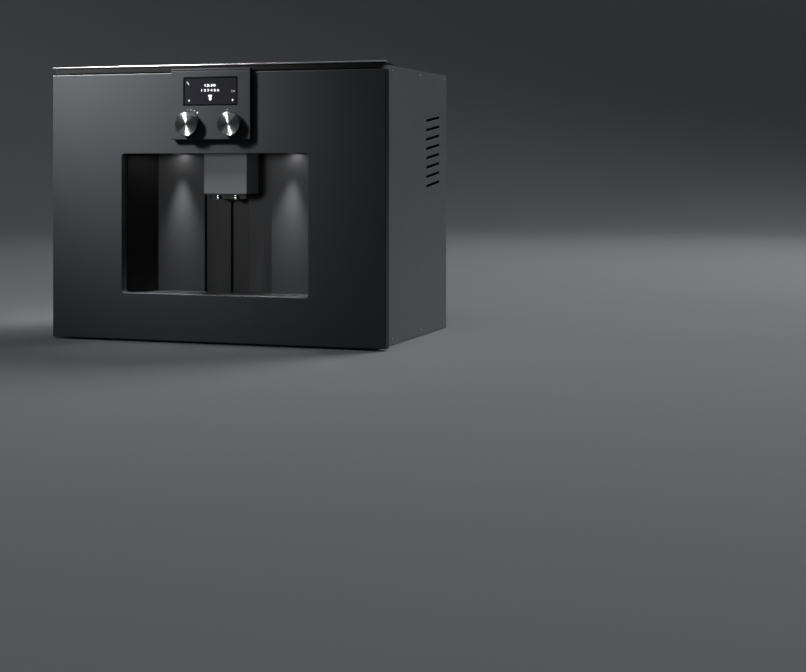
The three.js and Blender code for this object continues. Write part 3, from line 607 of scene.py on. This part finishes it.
# ------------------------------------------------------------------ door
def door_skin():
    """The folded front: rings run up the outer return, over its rounded edge, across the face, round into
    the cut-out, along its lip, and back inside the sheet to where they began. Boxes then cut the notches
    for the hinge leaves and the opening for the module's neck."""
    (x0, front, z0), (x1, back, z1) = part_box("door_panel")
    outer = ((x0, z0), (x1, z1), PIECE_CORNER)
    cut = (CUT_LOW, CUT_HIGH, CUT_CORNER)
    rings = [from_front(grown(*outer, 0), back)]
    rings += [from_front(grown(*outer, -inset), front + drop) for inset, drop in rounding(DOOR_EDGE)]
    rings += [from_front(grown(*cut, inset), front + drop)
              for inset, drop in reversed(rounding(CUT_EDGE))]
    rings += [from_front(grown(*cut, 0), back), from_front(grown(*cut, SKIN), back),
              from_front(grown(*cut, SKIN), front + SKIN), from_front(grown(*outer, -SKIN), front + SKIN),
              from_front(grown(*outer, -SKIN), back)]
    cutters = []
    for leaf in ("hinge_leaf_lower", "hinge_leaf_upper"):
        low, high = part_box(leaf)[0][2] - 4 * MM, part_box(leaf)[1][2] + 5 * MM
        cutters.append(plain_box((x0 - MM, NOTCH_FRONT, low), (NOTCH_SIDE, MM, high)))
    before, behind = front - 4 * MM, front + 6 * MM
    cutters.append(plain_box((NECK_LOW[0] - NECK_PLAY, before, NECK_LOW[1] - NECK_PLAY),
                             (NECK_HIGH[0] + NECK_PLAY, behind, NECK_HIGH[1] + NECK_PLAY)))
    new_piece("door_skin", loft(rings, closed=True), FRONT, "door",
              ["door_panel"], cutters)


def control_module():
    """The module: a block with rounded edges and a sunk field for the display, and above a fine joint a
    top strip, whose core closes the joint. Round holes let the knobs' shafts through, and the neck behind
    passes through the door."""
    (x0, front, z0), (x1, rear, z1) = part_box("module_housing")
    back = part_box("door_panel")[0][1] - GAP
    (u0, _, v0), (u1, glass_back, v1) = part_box("display_window")
    seam = z1 - MODULE_CAP
    body = ((x0, z0), (x1, seam - MODULE_JOINT), PIECE_CORNER)
    field = ((u0, v0), (u1, v1), DISPLAY_CORNER)
    rings = [from_front(grown(*body, 0), back)]
    rings += [from_front(grown(*body, -inset), front + drop) for inset, drop in rounding(MODULE_EDGE)]
    rings += [from_front(grown(*field, GAP + inset), front + drop)
              for inset, drop in reversed(rounding(DISPLAY_EDGE))]
    rings += [from_front(grown(*field, GAP), glass_back + GAP)]
    holes = []
    for shaft in ("left_knob", "right_knob"):
        low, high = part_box(shaft)
        section = [(0, -3 * MM), (SHAFT_HOLE, -3 * MM), (SHAFT_HOLE, rear - front), (0, rear - front)]
        middle = ((low[0] + high[0]) / 2, front, (low[2] + high[2]) / 2)
        holes.append(turned(section, middle, (0, 1, 0), 40))
    new_piece("module_body", loft(rings), MODULE, "door", ["module_housing"], holes)
    cap = block((x0, front, seam), (x1, back, z1), PIECE_CORNER, MODULE_EDGE)
    core = plain_box((x0 + 2 * MM, front + 1.2 * MM, seam - MM), (x1 - 2 * MM, back, seam + 0.5 * MM))
    new_piece("module_top_strip", together(cap, core), MODULE, "door")
    neck = plain_box((NECK_LOW[0], back - MM, NECK_LOW[1]), (NECK_HIGH[0], rear, NECK_HIGH[1]))
    new_piece("module_neck", neck, BLACK, "door")


# ------------------------------------------------------------------ signs and marks
def around(middle, *points):
    """Points (x, z) at distances in millimetres from a middle."""
    return np.array(middle) + MM * np.array(points)


def raised(outline, y):
    """A printed or lit sign: a closed (x, z) outline that stands PROUD of the face at depth y."""
    return loft([from_front(outline, y), from_front(outline, y - PROUD)])


def disc(middle, radius, y):
    """A round sign: middle + radius (cos a, sin a)."""
    a = np.linspace(0, 2 * math.pi, SIGN_STEPS, endpoint=False)
    return raised(middle + radius * np.column_stack([np.cos(a), np.sin(a)]), y)


def stroke(start, end, width, y):
    """A straight sign of even width between two points: each end moved half the width to both sides."""
    along = (end - start) / np.linalg.norm(end - start)
    beside = np.array([-along[1], along[0]]) * width / 2
    return raised(np.array([start - beside, end - beside, end + beside, start + beside]), y)


def figures(text, middle, height, width, y):
    """Plain digits as a solid: the font's flat outline, stretched to the width and height asked for and
    thickened by PROUD."""
    curve = bpy.data.curves.new("figures", "FONT")
    curve.body, curve.extrude, curve.offset = text, 0.5, 0.012
    held = add("figures", curve)
    bpy.context.view_layer.update()
    mesh = bpy.data.meshes.new_from_object(held.evaluated_get(bpy.context.evaluated_depsgraph_get()))
    points = np.empty(3 * len(mesh.vertices))
    mesh.vertices.foreach_get("co", points)
    flat = points.reshape(-1, 3)
    low, high = flat.min(0), flat.max(0)
    share = (flat - low) / (high - low) - (0.5, 0.5, 1)
    placed = np.column_stack([middle[0] + width * share[:, 0], y + PROUD * share[:, 2],
                              middle[1] + height * share[:, 1]])
    faces = [list(face.vertices) for face in mesh.polygons]
    bpy.data.objects.remove(held)
    return placed, faces


def display():
    """The display: dark glass, and on it two lines of plain digits, a cup sign and small corner signs."""
    low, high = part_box("display_window")
    pane = block(low, high, DISPLAY_CORNER, DISPLAY_EDGE)
    new_piece("display_pane", pane, display_glass(low, high), "door", ["display_window"])
    y = low[1]
    x, z = (low[0] + high[0]) / 2 - 0.5 * MM, (low[2] + high[2]) / 2
    digit = 3.8 * MM
    lines = together(figures("12:30", (x, z + 9.5 * MM), digit, 19 * MM, y),
                     figures("1 2 3 4 5 6", (x, z + 1.6 * MM), digit, 31 * MM, y))
    new_piece("display_figures", lines, SCREEN_WHITE, "door")

    cup = (x, z - 10.5 * MM)
    rim = around(cup, (-3.4, 4.4), (-2.9, 1.9), (2.9, 1.9), (3.4, 4.4))
    bowl = around(cup, (-2.4, 0.3), (-1.7, -3.9), (1.7, -3.9), (2.4, 0.3))
    cup_sign = together(raised(rim, y), raised(bowl, y))
    new_piece("display_cup", cup_sign, SCREEN_WHITE, "door")

    left, right = (low[0] + 8 * MM, z), (high[0] - 6.5 * MM, z)
    thin = 0.7 * MM
    signs = [stroke(*around(left, (-2.4, 16), (1.8, 10.5)), thin, y),
             stroke(*around(left, (0.6, -16.5), (1.8, -13)), thin, y),
             stroke(*around(left, (1.8, -13), (3.2, -16.5)), thin, y)]
    spots = around(right, (-3.4, 1.2), (-3.4, -1.4), (0.4, -0.2))
    signs += [disc(spot, radius, y) for spot, radius in zip(spots, (0.6 * MM, 0.6 * MM, 0.9 * MM))]
    new_piece("display_corner_signs", together(*signs), SCREEN_DIM, "door")
    arrow = raised(around(right, (-3.2, -12.6), (-3.2, -16.6), (-0.4, -14.4)), y)
    new_piece("display_arrow", arrow, SCREEN_BRIGHTER, "door")


def dial_marks():
    """Marks round the knobs: four over the left one, 15 degrees apart, the last of them lit, and one over
    the right."""
    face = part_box("module_housing")[0][1]
    centre = {}
    for node in ("left_knob", "right_knob"):
        low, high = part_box(node)
        centre[node] = np.array([(low[0] + high[0]) / 2, (low[2] + high[2]) / 2])

    def beside(node, degrees, radius):
        """A point round a knob, at an angle clockwise from its top."""
        turn = math.radians(degrees)
        return centre[node] + radius * np.array([math.sin(turn), math.cos(turn)])

    first = [beside("left_knob", -7.5, DIAL_RING + reach) for reach in (-MM, MM)]
    lone = [beside("right_knob", -18, DIAL_RING + reach) for reach in (0, 2 * MM)]
    printed = together(stroke(*first, 0.6 * MM, face),
                       disc(beside("left_knob", 7.5, DIAL_RING), 0.75 * MM, face),
                       disc(beside("left_knob", 22.5, DIAL_RING), 0.95 * MM, face),
                       stroke(*lone, 0.7 * MM, face))
    new_piece("dial_marks", printed, PRINT_PAINTED_GLOW, "door")
    lamp = disc(beside("left_knob", 37.5, DIAL_RING), 0.9 * MM, face)
    new_piece("dial_lamp", lamp, SCREEN_WHITE, "door")


# ------------------------------------------------------------------ knobs and strip
def knob(name, node, body):
    """A turned knob: chamfered at the back, straight side, bright chamfer, and a face dished by
    DISH (1 - s^2) at the share s of its radius, down to a small dimple at the centre."""
    low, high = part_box(node)
    x, z, r = (low[0] + high[0]) / 2, (low[2] + high[2]) / 2, (high[0] - low[0]) / 2
    face = low[1]
    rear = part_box("module_housing")[0][1] - KNOB_GAP
    length, inner = rear - face, r - KNOB_RIM
    side = [(KNOB_SHAFT, length), (inner, length), (r - 0.35 * MM, length - 0.5 * MM),
            (r, length - 1.3 * MM), (r, 1.1 * MM), (r - 0.25 * MM, 0.75 * MM),
            (r - 0.9 * MM, 0.08 * MM), (inner, 0)]
    dish = [(s * inner, DISH * (1 - s * s)) for s in np.linspace(0.95, 0.12, 12)]
    dimple = [(1.7 * MM, 0.35 * MM), (1.2 * MM, 0.75 * MM), (0.6 * MM, 1.0 * MM), (POLE, 1.05 * MM)]
    shape = turned(side + dish + dimple, (x, face, z), (0, 1, 0), 128)
    new_piece(name, shape, turned_steel(name + "_steel", (x, face, z)), body, [node])
    if body == "left_knob":
        stem = turned([(KNOB_SHAFT, -0.2 * MM), (KNOB_SHAFT, 9.3 * MM)], (x, rear, z), (0, 1, 0), 48)
        new_piece("left_knob_stem", stem, STEEL, body)


def trim_strip():
    """The bright strip: a flat section with round corners, carried along the full width."""
    (x0, y0, z0), (x1, y1, z1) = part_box("trim_strip")
    section = round_rectangle((y0, z0), (y1, z1), 0.8 * MM)
    new_piece("bright_trim", bar(section, x0, x1), BRIGHT, "casing", ["trim_strip"])


# ------------------------------------------------------------------ screws
def screw(middle, along, radius):
    """A pan-head screw with a six-lobed socket: rings of radius r and height h about its axis, the
    socket's rings waved by 1 + 0.13 cos 6a."""
    height, lobes = 1.3 * MM, 6
    angle = np.linspace(0, 2 * math.pi, 8 * lobes, endpoint=False)
    spoke = spokes(along, angle)
    wave = (1 + 0.13 * np.cos(lobes * angle))[:, None]
    even = np.ones_like(wave)
    profile = [(1.0, 0.0, even), (1.0, 0.4, even), (0.9, 0.75, even), (0.7, 0.95, even),
               (0.52, 1.0, even), (0.45, 1.0, wave), (0.42, 0.15, wave), (0.03, 0.15, even)]
    return loft([np.array(middle) + radius * r * shape * spoke + height * h * np.array(along, float)
                 for r, h, shape in profile])


def casing_screws():
    """Screws along the edges of the rear sheet, side sheets and top cover."""
    (x0, _, z0), (x1, rear, z1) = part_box("rear_panel")
    (_, _, low), (side, _, high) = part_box("side_panel_right")
    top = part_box("top_cover")[1][2]
    inset = 9 * MM
    upper_row = (-90 * MM, 90 * MM)
    side_depths = (60 * MM, 200 * MM, 335 * MM)
    top_depths = (30 * MM, 335 * MM)
    on_rear = [(x, rear, z) for x in (x0 + inset, x1 - inset)
               for z in np.linspace(z0 + 2 * inset, z1 - inset, 4)]
    on_rear += [(x, rear, z1 - inset) for x in upper_row]
    on_side = [(y, z) for y in side_depths for z in (low + inset, high - inset)]
    on_top = [(x, y, top) for x in (x0 + inset, 0, x1 - inset) for y in top_depths]
    heads = [screw(place, (0, 1, 0), SCREW_RADIUS) for place in on_rear]
    heads += [screw((side, y, z), (1, 0, 0), SCREW_RADIUS) for y, z in on_side]
    heads += [screw((-side, y, z), (-1, 0, 0), SCREW_RADIUS) for y, z in on_side]
    heads += [screw(place, (0, 0, 1), SCREW_RADIUS) for place in on_top]
    new_piece("casing_screws", together(*heads), STEEL, "casing")


def inner_screws():
    """Screws that show once the door stands open: round the liner, clear of hinges and catch, and in the
    corners of the fascia sheets and the brew unit's cover."""
    inset, side_inset = 8 * MM, 10 * MM
    hinge_side = (60 * MM, 225 * MM, 378 * MM)
    catch_side = (155 * MM, 305 * MM)
    columns = (-190 * MM, -95 * MM, 95 * MM, 190 * MM)
    (x0, _, z0), (x1, liner, z1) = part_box("door_liner")
    on_liner = [(x0 + side_inset, z) for z in hinge_side]
    on_liner += [(x1 - side_inset, z) for z in (z0 + inset, *catch_side, z1 - inset)]
    on_liner += [(x, z) for x in columns for z in (z0 + inset, z1 - inset)]
    heads = [screw((x, liner, z), (0, 1, 0), SMALL_SCREW) for x, z in on_liner]
    new_piece("liner_screws", together(*heads), STEEL, "door")
    heads = []
    for node in ("fascia_left", "fascia_right", "brew_unit_cover"):
        (x0, face, z0), (x1, _, z1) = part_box(node)
        heads += [screw((x, face, z), (0, -1, 0), SMALL_SCREW)
                  for x in (x0 + inset, x1 - inset) for z in (z0 + inset, z1 - inset)]
    new_piece("fascia_screws", together(*heads), STEEL, "casing")


def tank_scale():
    """The tank's level marks: a short stroke and a plain digit for each litre, one above another. A litre
    raises the level by its volume over the tank's inner plan."""
    (x0, face, z0), (x1, back, _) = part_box("water_tank")
    wall = 2 * MM
    litre = 0.001 / ((x1 - x0 - 2 * wall) * (back - face - 2 * wall))
    marks = []
    for count in range(1, 7):
        start, end, digit = around((x0, z0 + wall + count * litre), (12, 0), (22, 0), (27, 0))
        marks.append(stroke(start, end, 0.8 * MM, face))
        marks.append(figures(str(count), digit, 6 * MM, 3.4 * MM, face))
    new_piece("tank_scale", together(*marks), PRINT_PAINTED_GLOW, BODY_OF["water_tank"])


# ------------------------------------------------------------------ dispensing head
def head_housing():
    """The head: an upright shell with round front edges and a rounded lower rim, open below. Its plan is a
    rectangle with round corners. Rings of it go down the inside, over the rim and up the outside."""
    (x0, y0, z0), (x1, y1, z1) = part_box("outlet_housing")
    plan = ((x0, y0), (x1, y1), 2.2 * MM)
    roof, bevel, rim, crown = 3 * MM, 0.4 * MM, 0.9 * MM, 0.6 * MM
    rings = [in_plan(grown(*plan, -HEAD_WALL), z1 - roof),
             in_plan(grown(*plan, -HEAD_WALL), z0 + bevel),
             in_plan(grown(*plan, -HEAD_WALL + bevel), z0)]
    rings += [in_plan(grown(*plan, -inset), z0 + drop) for inset, drop in reversed(rounding(rim))]
    rings += [in_plan(grown(*plan, -inset), z1 - drop) for inset, drop in rounding(crown)]
    new_piece("head_shell", loft(rings), HEAD, "outlet", ["outlet_housing"])


def spouts():
    """The two spouts: turned tips with a swelling side and a bore. The side swells as the sine of the
    height."""
    for node in ("spout_left", "spout_right"):
        low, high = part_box(node)
        x, y = (low[0] + high[0]) / 2, (low[1] + high[1]) / 2
        height = high[2] - low[2]
        t = np.linspace(0, math.pi, 13)
        bore = [(POLE, SPOUT_DEPTH), (SPOUT_BORE, SPOUT_DEPTH), (SPOUT_BORE, 0.6 * MM), (2.2 * MM, 0)]
        side = list(zip((3.0 + 0.8 * np.sin(t)) * MM, (0.3 + 7.2 * t / math.pi) * MM))
        profile = bore + side + [(SPOUT_NECK, height), (POLE, height)]
        new_piece(node + "_tip", turned(profile, (x, y, low[2]), (0, 0, 1), 48), POLISHED,
                  "outlet", [node])


# ------------------------------------------------------------------ studio
def backdrop():
    """A pale floor that sweeps up all round, GAP below the machine: a turned surface, flat out to the
    bend, then a quarter circle, then an upright wall, open above."""
    flat, bend, height = 4.5, 2.5, 6.0
    angle = np.linspace(0, QUARTER, 13)
    radius = np.concatenate([[MM], np.linspace(0.5, flat, 9), flat + bend * np.sin(angle[1:]),
                             [flat + bend]])
    rise = np.concatenate([np.zeros(10), bend * (1 - np.cos(angle[1:])), [height]])
    points, faces = turned(list(zip(radius, rise - GAP)), (0, 0, 0), (0, 0, 1), 96)
    mesh = bpy.data.meshes.new("backdrop")
    mesh.from_pydata(points.tolist(), [], faces[:-1])
    mesh.polygons.foreach_set("use_smooth", [True] * len(mesh.polygons))
    sweep = add("backdrop", mesh)
    f = Finish("pale_backdrop", Specular_IOR_Level=0.2)
    patch = f.noise(1.5, 4.0)
    f.set(Base_Color=f.mix(patch, (0.60, 0.60, 0.60, 1), (0.66, 0.66, 0.66, 1)))
    f.set(Roughness=0.7 + 0.1 * patch)
    mesh.materials.append(f.material)


def area_light(name, place, aim, size, power, spread, colour=(1, 1, 1)):
    """A soft round light at a place, turned towards the point it aims at: its size in metres, its power
    in watts and its spread in degrees."""
    lamp = bpy.data.lights.new(name, "AREA")
    lamp.shape, lamp.size, lamp.energy, lamp.color = "DISK", size, power, colour
    lamp.spread = math.radians(spread)
    held = add(name, lamp)
    held.location = place
    held.rotation_euler = (held.location - Vector(aim)).to_track_quat("Z", "Y").to_euler()


def link_light(lamp, pieces, state):
    """Lets a light fall only on the pieces whose names begin so (INCLUDE) or on all others (EXCLUDE)."""
    group = bpy.data.collections.new(lamp + "_receivers")
    for piece in bpy.data.objects:
        if piece.name.startswith(pieces):
            group.objects.link(piece)
    for member in group.collection_objects:
        member.light_linking.link_state = state
    bpy.data.objects[lamp].light_linking.receiver_collection = group


def divide_light():
    """The keys stay off the floor and out of the niche, which has its lamps and a low soft fill of its
    own. The head has a light that it shares only with the spouts, and gets none from the sharper key or
    the glowing lenses. The lamps' wide spots stay off the floor, the niche's side walls and the drip
    plate. The inner fill lights only what shows with the door open."""
    head = ("head_shell",)
    niche = ("niche_", "drip_grate", "nozzle_block", "outlet_carriage", "spout_")
    floor = ("backdrop",)
    behind_door = ("fascia_", "brew_unit_cover", "door_liner", "liner_screws", "hinge_", "water_tank",
                   "tank_", "bean_", "drip_tray", "grounds_", "base_pan", "partition_")
    link_light("key", niche + head + floor, "EXCLUDE")
    link_light("soft_key", niche + floor, "EXCLUDE")
    link_light("niche_fill", niche + head, "INCLUDE")
    link_light("head_light", head + ("spout_",), "INCLUDE")
    link_light("inner_fill", behind_door, "INCLUDE")
    for lens in ("lamp_left", "lamp_right"):
        link_light(lens, head, "EXCLUDE")
        link_light(lens + "_halo", floor + ("niche_wall", "drip_grate"), "EXCLUDE")


def niche_lamps():
    """Two spots under each lamp lens: a narrow one that points straight down, and a wide one that leans
    forwards and towards the middle. Together they throw a long oval on the rear wall."""
    forwards = math.radians(6)
    bulb, drop = 7 * MM, 1.5 * MM
    for node, inwards in (("lamp_left", math.radians(1)), ("lamp_right", math.radians(5))):
        low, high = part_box(node)
        middle = (low[0] + high[0]) / 2
        for name, degrees, power, lean in (("_beam", 30, 4.0, 0), ("_halo", 52, 12.0, 1)):
            lamp = bpy.data.lights.new(node + name, "SPOT")
            lamp.energy, lamp.shadow_soft_size = power, bulb
            lamp.spot_size, lamp.spot_blend = math.radians(degrees), 1.0
            held = add(node + name, lamp)
            held.location = (middle, (low[1] + high[1]) / 2, low[2] - drop)
            held.rotation_euler = (-lean * forwards, lean * math.copysign(inwards, middle), 0)


def studio():
    """Soft lights, a dim surround and the photograph's camera."""
    upper_left = (-0.27, 0, 0.50)
    area_light("key", (-1.16, -1.19, 1.53), upper_left, 0.30, 2.8, 20)
    area_light("soft_key", (-1.30, -1.30, 1.62), upper_left, 0.9, 1.9, 30)
    area_light("overhead", (0.2, -1.0, 2.2), (0, -0.3, 0.3), 1.0, 0.80, 90, COOL)
    area_light("rear_fill", (2.2, 3.2, 3.4), (0, 0.6, 0), 3.0, 42, 140, COOL)
    area_light("inner_fill", (0.9, -2.4, 1.5), (0, -0.2, 0.2), 1.4, 14, 60, COOL)
    area_light("head_light", (0.6, -1.0, 0.10), (0, 0.03, 0.24), 1.2, 1.1, 60)
    area_light("niche_fill", (-0.35, -2.2, 0.42), (0, 0.05, 0.25), 0.5, 0.23, 20)
    niche_lamps()
    world = bpy.data.worlds.new("surround")
    world.use_nodes = True
    world.node_tree.nodes["Background"].inputs["Color"].default_value = (0.035, 0.036, 0.038, 1)
    world.node_tree.nodes["Background"].inputs["Strength"].default_value = 1.0
    bpy.context.scene.world = world
    bpy.context.scene.view_settings.view_transform = "Standard"

    image_width = 806.0
    focal = 1579.1                   # in pixels of that width
    horizon_above_middle = 170.43    # in the same pixels
    eye, turn_left = (1.1098, -2.3309, 0.2883), math.radians(18.80)
    lens = bpy.data.cameras.new("photograph")
    lens.sensor_fit, lens.sensor_width = "HORIZONTAL", 36.0
    lens.lens = focal / image_width * lens.sensor_width
    lens.shift_y = -horizon_above_middle / image_width
    lens.clip_start, lens.clip_end = 0.05, 100
    camera = add("photograph", lens)
    camera.location = eye
    camera.rotation_euler = (QUARTER, 0, turn_left)
    bpy.context.scene.camera = camera


studio()
backdrop()
dress_nodes()
door_skin()
control_module()
display()
dial_marks()
knob("left_knob_turned", "left_knob", "left_knob")
knob("right_knob_turned", "right_knob", "right_knob")
trim_strip()
head_housing()
spouts()
casing_screws()
inner_screws()
tank_scale()
# The front frames take the painted gap shade.
for node, width in ROUNDED.items():
    rounded(node, width, PAINTED_GAP_SHADE if node.startswith("front_frame") else None)
divide_light()
